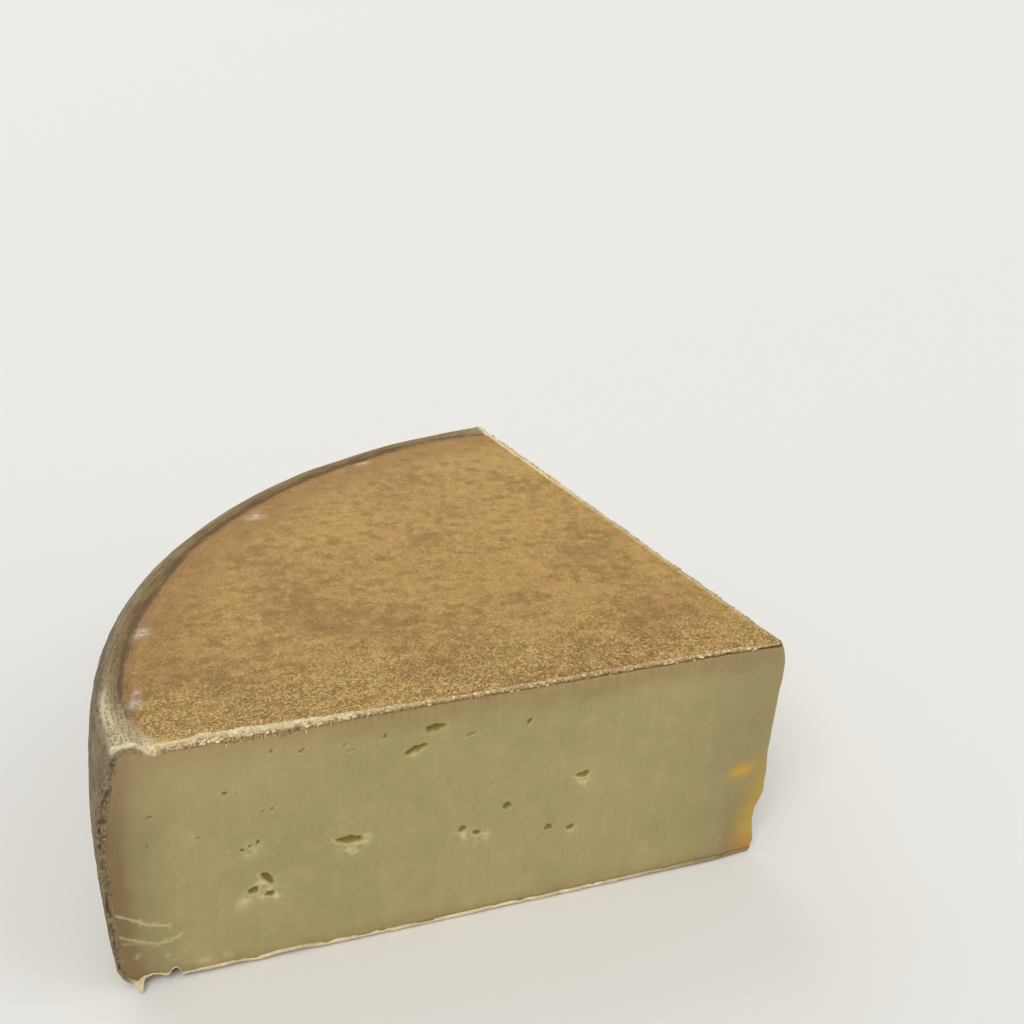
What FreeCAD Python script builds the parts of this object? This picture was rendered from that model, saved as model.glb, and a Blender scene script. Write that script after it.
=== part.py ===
import FreeCAD, Part
import math
import os

# Quarter of a pressed, washed-rind cheese wheel, cut with a long knife.
# All sizes are millimetres and degrees.
#
# The wheel's own axis is the sharp tip of the piece. From the tip, the front cut face
# runs along -X and faces -Y, and the back cut face closes the sector behind it.
# The piece lies on its flat base. The last step moves the origin from the tip to the
# middle of the bounding box, at the base.

# the wheel that the piece was cut from
wheel_radius = 185.0        # at the top and base, where the side starts to bulge
wheel_height = 70.0
side_bulge = 2.6            # how far the side swells at half height, from standing in its hoop
top_rim_radius = 5.0        # worn edge between the top and the side
base_rim_radius = 8.0       # softer edge that the cheese sat on in the cellar

# pressing mark of the hoop, a shallow ring in the top rind
groove_inset = 7.5          # from wheel_radius to the middle of the ring
groove_width = 4.0
groove_depth = 0.8

# the cuts
piece_angle = 84.0          # between the two cut faces
tip_radius = 1.2            # the tip is never quite sharp, it crumbles under the knife

# chip broken off the lower edge of the front face, close to the rind
chip_inset = 4.3            # from wheel_radius to where the chip starts
chip_widths = (7.6, 3.4)    # two bites, side by side
chip_heights = (2.3, 2.8)
chip_reach = 4.0            # how far each bite goes in under the piece

# eyes in the front face: share of the radius from the tip, share of the height,
# then length, width and tilt of each opening
front_eyes = (
    (0.545, 0.890, 6.0, 2.4, 8.0),
    (0.572, 0.815, 6.2, 2.4, 32.0),
    (0.669, 0.466, 7.6, 2.2, -4.0),
    (0.800, 0.355, 4.2, 2.4, 20.0),
    (0.786, 0.325, 3.4, 2.0, -35.0),
    (0.432, 0.489, 2.6, 2.2, 0.0),
    (0.315, 0.559, 4.3, 2.0, 15.0),
    (0.489, 0.404, 4.6, 1.8, 10.0),
    (0.364, 0.346, 2.8, 2.2, 0.0),
    (0.328, 0.324, 2.6, 2.0, 0.0),
)
eye_depth = 1.6             # how deep an opening goes into the paste

# eyes in the back face, spread evenly over it by a low-discrepancy walk
back_eye_count = 9
back_eye_margin = 0.16      # share of the face kept clear along each edge
back_eye_lengths = (2.4, 6.5)
back_eye_width = 2.2

golden = (math.sqrt(5) - 1) / 2


def point(x, y, z):
    return FreeCAD.Vector(x, y, z)


def wheelSolid():
    """The whole wheel, turned from its half section and rounded at both rims."""
    foot = point(wheel_radius, 0, 0)
    belly = point(wheel_radius + side_bulge, 0, wheel_height / 2)
    shoulder = point(wheel_radius, 0, wheel_height)
    centre_foot = point(0, 0, 0)
    centre_top = point(0, 0, wheel_height)
    section = Part.Wire([
        Part.makeLine(centre_foot, foot),
        Part.Arc(foot, belly, shoulder).toShape(),
        Part.makeLine(shoulder, centre_top),
        Part.makeLine(centre_top, centre_foot),
    ])
    wheel = Part.Face(section).revolve(point(0, 0, 0), point(0, 0, 1), 360)
    for level, rim_radius in ((0, base_rim_radius), (wheel_height, top_rim_radius)):
        rims = [edge for edge in wheel.Edges if isRim(edge, level)]
        wheel = wheel.makeFillet(rim_radius, rims)
    return wheel


def isRim(edge, level):
    """True for the circle where the side meets the top or the base."""
    if not isinstance(edge.Curve, Part.Circle):
        return False
    at_level = abs(edge.Curve.Center.z - level) < 0.01
    return at_level and abs(edge.Curve.Radius - wheel_radius) < 0.01


def hoopGroove():
    """Ring whose lower part presses the groove into the top."""
    ring_radius = (groove_width ** 2 / 4 + groove_depth ** 2) / (2 * groove_depth)
    ring_level = wheel_height - groove_depth + ring_radius
    return Part.makeTorus(wheel_radius - groove_inset, ring_radius, point(0, 0, ring_level))


def onFace(distance, angle):
    """Plan position at a distance from the wheel's axis, turned by angle from -X towards +Y."""
    turn = math.radians(angle)
    return point(-distance * math.cos(turn), distance * math.sin(turn), 0)


def sectorPrism():
    """Prism between the two knife cuts, with the crumbled tip rounded off."""
    half = piece_angle / 2
    far = 2 * wheel_radius
    tangent = tip_radius / math.tan(math.radians(half))
    tip_centre_distance = tip_radius / math.sin(math.radians(half))
    tip_start = onFace(tangent, 0)
    tip_middle = onFace(tip_centre_distance - tip_radius, half)
    tip_end = onFace(tangent, piece_angle)
    corners = [onFace(far, 0), onFace(far / math.cos(math.radians(half)), half), onFace(far, piece_angle)]
    outline = Part.Wire([
        Part.makeLine(corners[0], tip_start),
        Part.Arc(tip_start, tip_middle, tip_end).toShape(),
        Part.makeLine(tip_end, corners[2]),
        Part.makeLine(corners[2], corners[1]),
        Part.makeLine(corners[1], corners[0]),
    ])
    return Part.Face(outline).extrude(point(0, 0, wheel_height))


def eyePocket(distance, level, length, width, tilt, angle):
    """Rounded slit, sunk into the cut face at this angle by eye_depth."""
    radius = (width ** 2 / 4 + eye_depth ** 2) / (2 * eye_depth)
    run = max(length - width, 0.1)
    pocket = Part.makeCylinder(radius, run, point(-run / 2, 0, 0), point(1, 0, 0))
    for end in (-run / 2, run / 2):
        pocket = pocket.fuse(Part.makeSphere(radius, point(end, 0, 0)))
    pocket.rotate(point(0, 0, 0), point(0, 1, 0), tilt)
    inward = 1 if angle == 0 else -1
    pocket.translate(point(-distance, inward * (eye_depth - radius), level))
    pocket.rotate(point(0, 0, 0), point(0, 0, 1), -angle)
    return pocket


def frontEyes():
    return [
        eyePocket(along * wheel_radius, up * wheel_height, length, width, tilt, 0)
        for along, up, length, width, tilt in front_eyes
    ]


def backEyes():
    eyes = []
    shortest, longest = back_eye_lengths
    for number in range(1, back_eye_count + 1):
        along = back_eye_margin + (1 - 2 * back_eye_margin) * (number * golden % 1)
        up = back_eye_margin + (1 - 2 * back_eye_margin) * ((number - 0.5) / back_eye_count)
        length = shortest + (longest - shortest) * (number * golden ** 2 % 1)
        tilt = 40 * math.sin(number * 2.0)
        eyes.append(
            eyePocket(along * wheel_radius, up * wheel_height, length, back_eye_width, tilt, piece_angle)
        )
    return eyes


def chipBites():
    """Two scallops broken out of the lower front edge."""
    bites = []
    start = wheel_radius - chip_inset
    for width, height in zip(chip_widths, chip_heights):
        radius = (width ** 2 / 4 + height ** 2) / (2 * height)
        middle = point(-(start - width / 2), 0, height - radius)
        bite = Part.makeCylinder(radius, chip_reach, middle, point(0, 1, 0))
        bites.append(bite)
        start -= width
    return bites


def cheesePiece():
    piece = wheelSolid().common(sectorPrism())
    tools = [hoopGroove()] + frontEyes() + backEyes() + chipBites()
    piece = piece.cut(tools)
    return piece.Solids[0]


os.makedirs("parts", exist_ok=True)
cheese = cheesePiece()
box = cheese.optimalBoundingBox(False)
cheese.translate(point(-box.Center.x, -box.Center.y, -box.ZMin))
cheese.exportStep("parts/cheese_piece.step")

box = cheese.optimalBoundingBox(False)
print("solid valid:", cheese.isValid(), "volume cm3:", round(cheese.Volume / 1000, 1))
print("box mm: %.2f x %.2f x %.2f" % (box.XLength, box.YLength, box.ZLength))
print("tip at x %.2f y %.2f" % (box.XMax, box.YMin))
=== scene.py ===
import itertools
import math
import random

import bmesh
import bpy
import numpy as np
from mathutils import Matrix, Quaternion, Vector


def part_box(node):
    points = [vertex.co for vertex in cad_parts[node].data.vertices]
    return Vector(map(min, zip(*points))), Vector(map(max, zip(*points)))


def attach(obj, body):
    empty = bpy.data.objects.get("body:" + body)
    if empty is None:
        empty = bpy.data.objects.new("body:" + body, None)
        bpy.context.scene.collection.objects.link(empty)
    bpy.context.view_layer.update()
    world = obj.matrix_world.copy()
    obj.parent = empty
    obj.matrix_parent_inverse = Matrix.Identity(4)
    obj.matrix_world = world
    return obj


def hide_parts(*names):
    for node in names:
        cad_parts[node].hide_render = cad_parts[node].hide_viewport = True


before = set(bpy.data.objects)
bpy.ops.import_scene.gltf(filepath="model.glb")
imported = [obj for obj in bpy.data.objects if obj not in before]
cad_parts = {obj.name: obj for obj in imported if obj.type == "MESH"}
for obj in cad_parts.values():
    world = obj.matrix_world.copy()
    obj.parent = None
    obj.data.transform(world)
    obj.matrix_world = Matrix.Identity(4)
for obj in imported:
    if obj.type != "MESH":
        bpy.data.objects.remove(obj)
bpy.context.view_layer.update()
nodeLow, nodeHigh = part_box("cheese_piece")
mm = 0.001

# the wheel and the way it was cut
wheel = dict(
    radius=185 * mm,
    bulge=2.6 * mm,          # the side swells this far at half height
    topRim=5 * mm,
    baseRim=8 * mm,
    cutAngle=84.0,           # degrees between the two cut faces
    tipRound=1.2 * mm,
    tipBlend=4 * mm,         # over this length the rings turn into the round of the tip
    grooveInset=7.5 * mm,    # hoop mark, in from the radius
    arcSteps=60, sideSteps=120, outlineSteps=3000,    # points on the outline
)
wheelHeight = nodeHigh.z - nodeLow.z
cutTurn = math.radians(wheel["cutAngle"])
tipLead = wheel["tipRound"] / math.tan(cutTurn / 2)
apex = Vector((nodeHigh.x - wheel["tipRound"] + tipLead, nodeLow.y, nodeLow.z))
print("cheese piece, %.0f mm high, tip at x %.1f mm" % (wheelHeight / mm, apex.x / mm))


# noise for shaping, all seeded
def cellValue(cell, seed):
    mixed = seed * 2654435761
    for axis, spread in enumerate((73856093, 19349663, 83492791)):
        mixed = mixed ^ (cell[..., axis] * spread)
    mixed = ((mixed ^ (mixed >> 13)) & 0x7FFFFFFF) * 1274126177 & 0x7FFFFFFF
    mixed = (mixed ^ (mixed >> 15)) * 668265263 & 0x7FFFFFFF
    return ((mixed >> 9) & 0xFFFF) / 65535.0


def softNoise(points, size, seed=0):    # smooth, from -1 to 1
    scaled = points / size
    cell = np.floor(scaled).astype(np.int64)
    part = scaled - cell
    part = part * part * (3 - 2 * part)
    total = np.zeros(len(points))
    for corner in itertools.product((0, 1), repeat=3):
        weight = np.ones(len(points))
        for axis, side in enumerate(corner):
            weight = weight * (part[:, axis] if side else 1 - part[:, axis])
        total += weight * cellValue(cell + np.array(corner), seed)
    return total * 2 - 1


def roughNoise(points, size, layers=3, seed=0):    # several sizes of soft noise together
    total = sum(softNoise(points, size / 2 ** k, seed + 11 * k) / 2 ** k for k in range(layers))
    return total / (2 - 0.5 ** (layers - 1))


def grainNoise(points, size, seed=0):    # rounded grains: 1 on top of a grain, 0 between grains
    scaled = points / size
    cell = np.floor(scaled).astype(np.int64)
    nearest = np.full(len(points), 9.0)
    for step in itertools.product((-1, 0, 1), repeat=3):
        there = cell + np.array(step)
        place = there + 0.1 + 0.8 * np.stack([cellValue(there, seed + k) for k in (1, 2, 3)], -1)
        nearest = np.minimum(nearest, ((scaled - place) ** 2).sum(-1))
    return np.clip(1 - np.sqrt(nearest), 0, 1)


def ease(value, low, high):    # 0 below low, 1 above high, smooth between
    share = np.clip((value - low) / (high - low), 0, 1)
    return share * share * (3 - 2 * share)


def hump(value, middle, width):
    return np.exp(-(((value - middle) / width) ** 2))


# outline of the wheel, and where its points go
def sideRadius(z):
    return wheel["radius"] + wheel["bulge"] * (1 - (2 * z / wheelHeight - 1) ** 2)


def rimCentre(level, rimRound):
    z = np.linspace(level - rimRound, level + rimRound, 400)
    return np.min(sideRadius(z) - np.sqrt(np.maximum(rimRound ** 2 - (z - level) ** 2, 0)))


def outlineOfWheel():
    topRim, baseRim = wheel["topRim"], wheel["baseRim"]
    turn = np.linspace(0, math.pi / 2, wheel["arcSteps"])
    topArc = np.stack([
        rimCentre(wheelHeight - topRim, topRim) + topRim * np.sin(turn),
        wheelHeight - topRim + topRim * np.cos(turn),
    ], -1)
    baseArc = np.stack([
        rimCentre(baseRim, baseRim) + baseRim * np.cos(turn),
        baseRim - baseRim * np.sin(turn),
    ], -1)
    sideLevels = np.linspace(topArc[-1, 1], baseArc[0, 1], wheel["sideSteps"])[1:-1]
    side = np.stack([sideRadius(sideLevels), sideLevels], -1)
    for arc in (topArc, baseArc):
        arc[:, 0] = np.minimum(arc[:, 0], sideRadius(arc[:, 1]))
    points = np.concatenate([[(tipLead, wheelHeight)], topArc, side, baseArc, [(tipLead, 0.0)]])
    along = np.concatenate([[0], np.cumsum(np.linalg.norm(np.diff(points, axis=0), axis=1))])
    fine = np.linspace(0, along[-1], wheel["outlineSteps"])
    smooth = np.stack([np.interp(fine, along, points[:, k]) for k in (0, 1)], -1)
    slope = np.gradient(smooth, fine, axis=0)
    normal = np.stack([-slope[:, 1], slope[:, 0]], -1)
    normal /= np.linalg.norm(normal, axis=1)[:, None]
    return fine, smooth, normal


outline = outlineOfWheel()


def onOutline(along):
    fine, smooth, normal = outline
    return [np.interp(along, fine, table[:, k]) for table in (smooth, normal) for k in (0, 1)]


def planPlace(distance, share):    # rings about the apex, which shrink onto the small arc of the tip
    half = cutTurn / 2
    turn = share * cutTurn
    lean = -math.pi / 2 + share * (math.pi - cutTurn)
    reach = wheel["tipRound"] / math.sin(half)
    arcX = -reach * math.cos(half) + wheel["tipRound"] * np.cos(lean)
    arcY = reach * math.sin(half) + wheel["tipRound"] * np.sin(lean)
    blend = ease(distance, tipLead, tipLead + wheel["tipBlend"])
    x = arcX * (1 - blend) - distance * np.cos(turn) * blend
    y = arcY * (1 - blend) + distance * np.sin(turn) * blend
    return apex.x + x, apex.y + y


def cutNormal(share):    # straight out of the front cut at 0, of the back cut at 1, round the tip between
    lean = -math.pi / 2 + share * (math.pi - cutTurn)
    return np.stack([np.cos(lean), np.sin(lean), np.zeros_like(lean)], -1)


# mesh helpers
def slabMesh(first, second, third):    # the six sides of a block, laid out by three lists of steps
    counts = (len(first), len(second), len(third))
    inside = np.zeros(counts, bool)
    inside[1:-1, 1:-1, 1:-1] = True
    index = np.full(counts, -1)
    index[~inside] = np.arange(np.count_nonzero(~inside))
    points = np.stack(np.meshgrid(first, second, third, indexing="ij"), -1)[~inside]
    quads = []
    for axis, end in itertools.product(range(3), (0, -1)):
        sheet = np.take(index, end, axis=axis)
        faces = np.stack([sheet[:-1, :-1], sheet[1:, :-1], sheet[1:, 1:], sheet[:-1, 1:]], -1).reshape(-1, 4)
        quads.append(faces[:, ::-1] if (end == 0) != (axis == 1) else faces)
    return points, np.concatenate(quads)


def refinedBlock(steps, wrap, detail, passes):
    # cuts every edge that is much longer, once wrapped, than the detail wanted there
    allowance = 1.35
    points, quads = slabMesh(*steps)
    work = bmesh.new()
    corners = [work.verts.new(place) for place in points]
    for quad in quads:
        work.faces.new([corners[k] for k in quad])
    for step in range(passes):
        work.verts.index_update()
        flat = np.array([v.co[:] for v in work.verts])
        ends = np.array([(e.verts[0].index, e.verts[1].index) for e in work.edges])
        real = wrap(flat)
        length = np.linalg.norm(real[ends[:, 0]] - real[ends[:, 1]], axis=1)
        tooLong = length > allowance * detail(flat[ends].mean(1), real[ends].mean(1))
        edges = [edge for edge, cut in zip(work.edges, tooLong) if cut]
        if edges:
            bmesh.ops.subdivide_edges(work, edges=edges, cuts=1, use_grid_fill=True)
    bmesh.ops.triangulate(work, faces=[face for face in work.faces if len(face.verts) > 4])
    bmesh.ops.dissolve_verts(work, verts=[vert for vert in work.verts if len(vert.link_edges) == 2])
    work.verts.index_update()
    flat = np.array([v.co[:] for v in work.verts])
    return work, flat


def addToScene(name, data):
    thing = bpy.data.objects.new(name, data)
    bpy.context.scene.collection.objects.link(thing)
    return thing


def addSmooth(name, mesh):
    mesh.polygons.foreach_set("use_smooth", [True] * len(mesh.polygons))
    triangles = sum(len(face.vertices) - 2 for face in mesh.polygons)
    print("%s: %d vertices, %d triangles" % (name, len(mesh.vertices), triangles))
    return addToScene(name, mesh)


def finishMesh(name, work, places, masks):
    for vert, place in zip(work.verts, places):
        vert.co = place
    work.normal_update()
    bmesh.ops.recalc_face_normals(work, faces=work.faces[:])
    mesh = bpy.data.meshes.new(name)
    work.to_mesh(mesh)
    work.free()
    for maskName, values in masks.items():
        kind, field = ("FLOAT_VECTOR", "vector") if values.ndim == 2 else ("FLOAT", "value")
        layer = mesh.attributes.new(maskName, kind, "POINT")
        layer.data.foreach_set(field, values.astype(np.float32).ravel())
    return addSmooth(name, mesh)


# wear that both the rind and the paste follow
edgeWear = dict(
    # how far the tip leans out (+) or in (-) at each level, mm
    tipLine=(
        (0, -1.5), (2, -1.0), (4.5, -0.4), (7.5, -1.1), (11, -1.6), (15, -1.1), (18, -0.4), (22, 0.6),
        (27, 0.7), (33, 0.4), (42, 0.5), (50, 1.0), (58, 1.5), (65, 1.6), (68.5, 0.9), (72, -0.9),
    ),
    tipReach=9 * mm,
    # how far the lower front edge is lifted, at distances in from the radius, mm
    footLine=(
        (0, 0), (16, 0.9), (38, 1.0), (55, 0.75), (68, 0.5), (71, 0.35), (73.3, 0), (75.5, 0.3), (112, 0.4),
        (115, 0.1), (117.5, 0), (120, 0.1), (123, 0.4), (160, 0.3), (185, 0.2),
    ),
    footReach=7 * mm,
    # the bite out of the lower front corner: distance in from the radius and height, mm
    biteLine=(
        (4.0, 0), (4.9, 1.7), (6.2, 2.7), (8.2, 3.2), (10.2, 2.8), (11.6, 2.0), (12.6, 2.2), (13.3, 3.5),
        (14.3, 4.0), (15.2, 3.4), (16.0, 1.0), (17.2, 0),
    ),
    biteReach=4 * mm,
    ceiling=13 * mm,          # the lower edge's wear dies out at this level
    sideDraw=0.7 * mm,        # the side goes in this far towards the base
    cornerDraw=2.3 * mm,      # and the upper front corner this far,
    cornerLift=1.3 * mm,      # while its rim goes up
    drawReach=15 * mm, liftReach=8 * mm,
)


def onLine(value, line):
    steps, heights = (np.array(row) * mm for row in zip(*line))
    return np.interp(value, steps, heights)


def wearDown(places):
    # the leaning tip
    x, y, z = places.T
    level = z - apex.z
    away = np.hypot(x - apex.x, y - apex.y)
    shift = onLine(level, edgeWear["tipLine"]) + 0.15 * mm * softNoise(places * (0, 0, 1) + 0.5, 5 * mm, 5)
    shift = shift * hump(away, 0, edgeWear["tipReach"])
    half = cutTurn / 2
    x = x + shift * math.cos(half)
    y = y - shift * math.sin(half)
    # the lower front edge
    fromRim = wheel["radius"] - (apex.x - x)
    back = y - apex.y
    uneven = 1 + 0.6 * softNoise(np.stack([fromRim, 0 * x, 0 * x], -1), 6 * mm, 6)
    lift = onLine(fromRim, edgeWear["footLine"]) * uneven
    lift = lift * np.clip(1 - back / edgeWear["footReach"], 0, 1) ** 1.5
    bite = onLine(fromRim, edgeWear["biteLine"]) * np.clip(1 - (back / edgeWear["biteReach"]) ** 2, 0, 1)
    z = z + np.maximum(lift, bite) * np.clip(1 - level / edgeWear["ceiling"], 0, 1) ** 2
    # the side and the upper front corner
    side = ease(away, wheel["radius"] - 16 * mm, wheel["radius"])
    corner = edgeWear["cornerDraw"] * ease(level, 50 * mm, 69 * mm) * hump(back, 0, edgeWear["drawReach"])
    draw = 1 - (edgeWear["sideDraw"] * ease(level, 48 * mm, 22 * mm) + corner) * side / np.maximum(away, mm)
    x, y = apex.x + (x - apex.x) * draw, apex.y + (y - apex.y) * draw
    atRim = ease(away, wheel["radius"] - 13 * mm, wheel["radius"] - 5 * mm)
    rise = ease(level, 55 * mm, 67 * mm) * hump(back, 0, edgeWear["liftReach"])
    z = z + edgeWear["cornerLift"] * rise * atRim
    return np.stack([x, y, z], -1)


# finishes
class NodeBench:    # short ways to place and join nodes
    def __init__(self, tree, shades=None):
        self.tree = tree
        self.shades = shades
        self.count = 0

    def node(self, kind, inputs=(), **settings):
        made = self.tree.nodes.new(kind)
        made.location = (-1800 + 190 * (self.count % 10), 600 - 260 * (self.count // 10))
        self.count += 1
        for key, value in settings.items():
            setattr(made, key, value)
        for key, value in dict(inputs).items():
            self.join(value, made.inputs[key])
        return made

    def join(self, value, socket):    # value: another socket, a number, a colour, or a shade's name
        if isinstance(value, bpy.types.NodeSocket):
            self.tree.links.new(value, socket)
        else:
            socket.default_value = colour(*self.shades[value]) if isinstance(value, str) else value

    def fill(self, made, **values):    # by socket name, with _ for a space
        for label, value in values.items():
            self.join(value, made.inputs[label.replace("_", " ")])

    def group(self, tree, **values):
        made = self.node("ShaderNodeGroup", node_tree=tree)
        self.fill(made, **values)
        return made.outputs

    def math(self, operation, *values, clamp=False):
        return self.node("ShaderNodeMath", enumerate(values), operation=operation, use_clamp=clamp).outputs[0]

    def times(self, value, *others):
        for other in others:
            value = self.math("MULTIPLY", value, other)
        return value

    def plus(self, first, second, clamp=False):
        return self.math("ADD", first, second, clamp=clamp)

    def vectorMath(self, operation, first, second):
        key = "Scale" if operation == "SCALE" else 1
        return self.node("ShaderNodeVectorMath", {0: first, key: second}, operation=operation).outputs[0]

    def ramp(self, value, low, high, most=1.0):    # 0 at low, most at high, smooth between
        limits = {"Value": value, "From Min": low, "From Max": high, "To Max": most}
        return self.node("ShaderNodeMapRange", limits, interpolation_type="SMOOTHSTEP").outputs["Result"]

    def noise(self, vector, scale, detail, roughness):
        settings = {"Vector": vector, "Scale": scale, "Detail": detail, "Roughness": roughness}
        return self.node("ShaderNodeTexNoise", settings).outputs["Fac"]

    def mask(self, name, socket="Fac"):
        return self.node("ShaderNodeAttribute", attribute_name=name).outputs[socket]

    def mix(self, share, under, over):
        made = self.node("ShaderNodeMix", {0: share, 6: under, 7: over}, data_type="RGBA")
        return made.outputs[2]

    def coats(self, tone, *layers):    # lays on one shade after another, each with the share of it that shows
        for over, share in layers:
            tone = self.mix(share, tone, over)
        return tone

    def bump(self, height, strength, distance):
        settings = {"Strength": strength, "Distance": distance, "Height": height}
        return self.node("ShaderNodeBump", settings).outputs[0]


def colour(*shown):    # red, green and blue as a screen shows them, 0 to 255
    parts = [part / 255 for part in shown]
    return (*(v / 12.92 if v <= 0.04045 else ((v + 0.055) / 1.055) ** 2.4 for v in parts), 1.0)


def newGroup(name, outputs, **inputs):    # a vector and these numbers go in, and masks come out
    group = bpy.data.node_groups.new(name, "ShaderNodeTree")
    addSocket = group.interface.new_socket
    addSocket("Vector", in_out="INPUT", socket_type="NodeSocketVector")
    for label, value in inputs.items():
        socket = addSocket(label.replace("_", " "), in_out="INPUT", socket_type="NodeSocketFloat")
        socket.default_value = value
    for label in outputs:
        addSocket(label, in_out="OUTPUT", socket_type="NodeSocketFloat")
    bench = NodeBench(group)
    return group, bench, bench.node("NodeGroupInput").outputs, bench.node("NodeGroupOutput").inputs


def makeMottleGroup():    # two layers of cloudy patches, sizes in mm
    group, bench, given, result = newGroup(
        "mottle", ("Patches", "Fine"), Patch_Size=20.0, Fine_Size=4.0, Contrast=1.0,
    )
    strength = bench.times(given["Contrast"], 2.2)
    for size, label, detail in (("Patch Size", "Patches", 4.0), ("Fine Size", "Fine", 3.0)):
        scale = bench.math("DIVIDE", 1 / mm, given[size])
        cloud = bench.noise(given["Vector"], scale, detail, 0.6)
        centred = bench.times(bench.plus(cloud, -0.5), strength)
        bench.join(bench.plus(centred, 0.5, clamp=True), result[label])
    return group


def makeSandGroup():    # sandy grains of several sizes, from the gaps between them up to the palest tops
    group, bench, given, result = newGroup(
        "sandyGrains", ("Height", "Light", "Gaps"), Grain_Size=1.0, Crispness=1.0,
    )
    vector = given["Vector"]
    scale = bench.math("DIVIDE", 1 / mm, given["Grain Size"])
    wobble = bench.node("ShaderNodeTexNoise", {"Vector": vector, "Scale": scale, "Detail": 2.0})
    shift = bench.vectorMath("SUBTRACT", wobble.outputs["Color"], (0.5, 0.5, 0.5))
    push = bench.vectorMath("SCALE", shift, bench.math("DIVIDE", 1.4, scale))
    cell = {"Vector": bench.vectorMath("ADD", vector, push), "Scale": scale, "Smoothness": 0.35}
    cells = bench.node("ShaderNodeTexVoronoi", cell, feature="SMOOTH_F1")
    dome = bench.math("SUBTRACT", 0.95, bench.times(cells.outputs["Distance"], 1.1), clamp=True)
    coarse = bench.noise(vector, bench.times(scale, 0.6), 2.0, 0.6)
    fine = bench.noise(vector, bench.times(scale, 1.4), 3.0, 0.65)
    total = bench.plus(bench.times(dome, 0.5), bench.times(coarse, 0.7))
    total = bench.plus(total, bench.times(fine, 0.5))
    centred = bench.times(bench.plus(total, -0.8), given["Crispness"])
    height = bench.plus(bench.times(centred, 1.9), 0.5, clamp=True)
    bench.join(height, result["Height"])
    bench.join(bench.ramp(height, 0.48, 1.0), result["Light"])
    bench.join(bench.ramp(height, 0.52, 0.0), result["Gaps"])
    return group


def makeStreakGroup():    # thin marks that run one way: brush and cloth marks, or the drag of the knife
    group, bench, given, result = newGroup("streaks", ("Streaks", "Wide"), Across=1.0, Along=20.0)
    for factor, label in ((1.0, "Streaks"), (4.0, "Wide")):
        across = bench.math("DIVIDE", 1 / mm / factor, given["Across"])
        along = bench.math("DIVIDE", 1 / mm / factor ** 0.5, given["Along"])
        stretch = bench.node("ShaderNodeCombineXYZ", {"X": across, "Y": along, "Z": along}).outputs[0]
        cloud = bench.noise(bench.vectorMath("MULTIPLY", given["Vector"], stretch), 1.0, 3.0, 0.65)
        bench.join(bench.ramp(cloud, 0.3, 0.7), result[label])
    return group


mottleGroup, sandGroup, streakGroup = makeMottleGroup(), makeSandGroup(), makeStreakGroup()


def newMaterial(name, shades, scatter, **settings):    # scatter: how far light spreads inside, mm
    material = bpy.data.materials.new(name)
    material.use_nodes = True
    bench = NodeBench(material.node_tree, shades)
    shader = material.node_tree.nodes["Principled BSDF"]
    radius = [length * mm for length in scatter]
    bench.fill(shader, Subsurface_Radius=radius, Subsurface_Scale=1.0, **settings)
    return material, bench, shader, bench.node("ShaderNodeTexCoord").outputs["Object"]


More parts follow.
